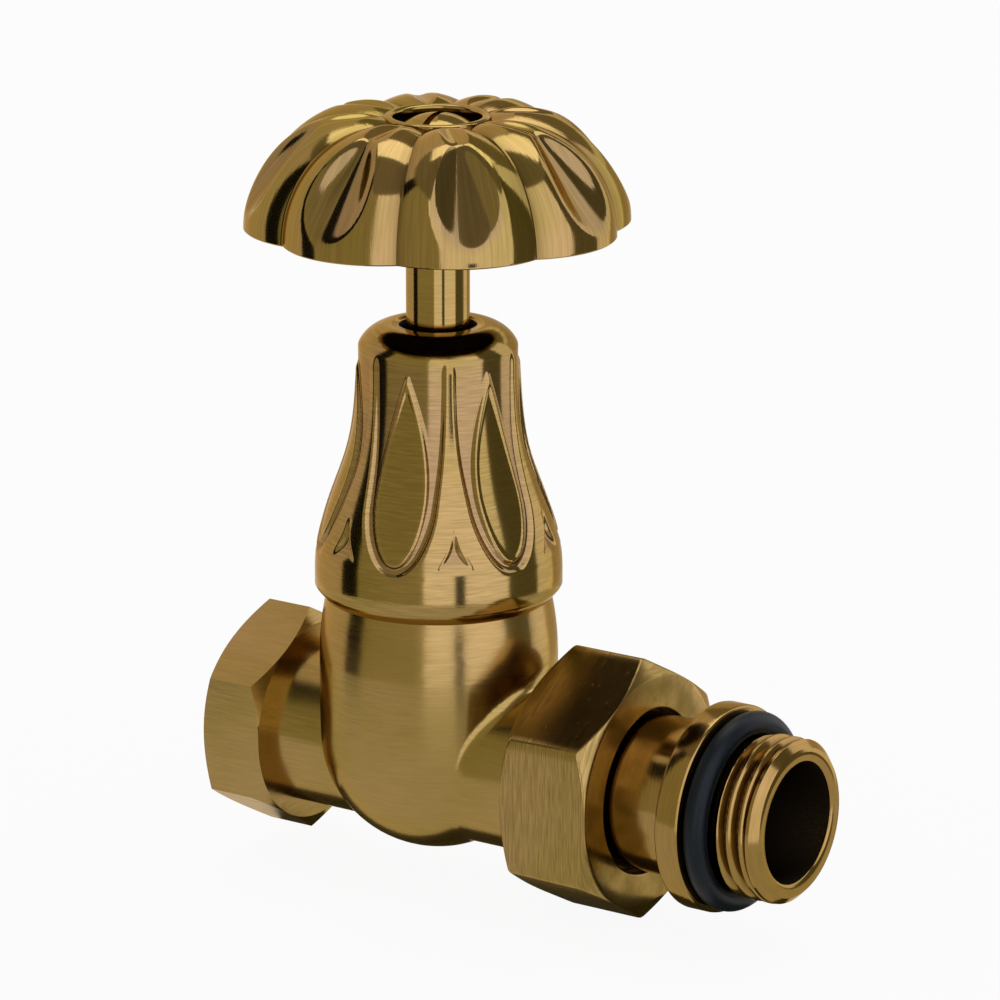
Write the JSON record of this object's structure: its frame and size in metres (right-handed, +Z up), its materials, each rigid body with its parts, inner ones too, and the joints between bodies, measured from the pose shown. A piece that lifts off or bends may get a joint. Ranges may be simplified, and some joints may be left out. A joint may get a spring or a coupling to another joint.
{
  "type": "straight radiator valve",
  "caption": "Straight globe valve for a radiator in antique brushed brass: hexagon inlet socket, carved bell cover, lobed handwheel, and a union nut with a threaded tail.",
  "frame": {"origin": "centre of the inlet socket's mouth, on the pipe axis", "axes": "+X along the pipe from inlet to outlet, +Z up along the stem to the handwheel"},
  "size_m": [0.0826, 0.049, 0.1005],
  "materials": {
    "body_brass": "antique, brushed round the stem",
    "cover_brass": "antique, carved and brushed round the stem",
    "wheel_brass": "antique, carved and polished, brushed on the skirt",
    "turned_brass": "antique, turned",
    "union_brass": "antique, brushed along the flats",
    "plain_brass": "machined",
    "spring_steel": "plain",
    "black_rubber": "smooth",
    "packing": "pressed",
    "fibre": "fibre sheet"
  },
  "bodies": {
    "valve_body": {"valve_body": "body_brass", "bonnet": "plain_brass", "bonnet_gasket": "fibre", "packing_washer": "plain_brass", "packing_rings": "packing", "gland_nut": "plain_brass", "bell_cover": "cover_brass"},
    "disc": {"disc_holder": "plain_brass", "seat_washer": "black_rubber", "disc_nut": "plain_brass", "disc_clip": "spring_steel"},
    "spindle": {"spindle": "turned_brass", "handwheel": "wheel_brass", "wheel_screw": "turned_brass", "wheel_washer": "spring_steel"},
    "tail": {"union_tail": "union_brass", "tail_oring": "black_rubber", "nut_retaining_ring": "spring_steel", "union_seal": "black_rubber"},
    "union_nut": {"union_nut": "union_brass"}
  },
  "joints": [
    {"name": "disc_lift", "type": "slide", "parent": "valve_body", "child": "disc", "axis": [0, 0, 1], "range_m": [-0.006, 0]},
    {"name": "wheel_turn", "type": "hinge", "parent": "disc", "child": "spindle", "pos_m": [0.0281, 0, 0], "axis": [0, 0, 1], "range_deg": [-1080, 0]},
    {"name": "tail_draw", "type": "slide", "parent": "valve_body", "child": "tail", "axis": [1, 0, 0], "range_m": [0, 0.00726]},
    {"name": "nut_turn", "type": "hinge", "parent": "tail", "child": "union_nut", "pos_m": [0.05615, 0, 0], "axis": [1, 0, 0], "range_deg": [0, 1440]}
  ],
  "couplings": [
    {"joint": "disc_lift", "follows": "wheel_turn", "m_per_rad": 0.0003183},
    {"joint": "tail_draw", "follows": "nut_turn", "m_per_rad": 0.0002887}
  ]
}
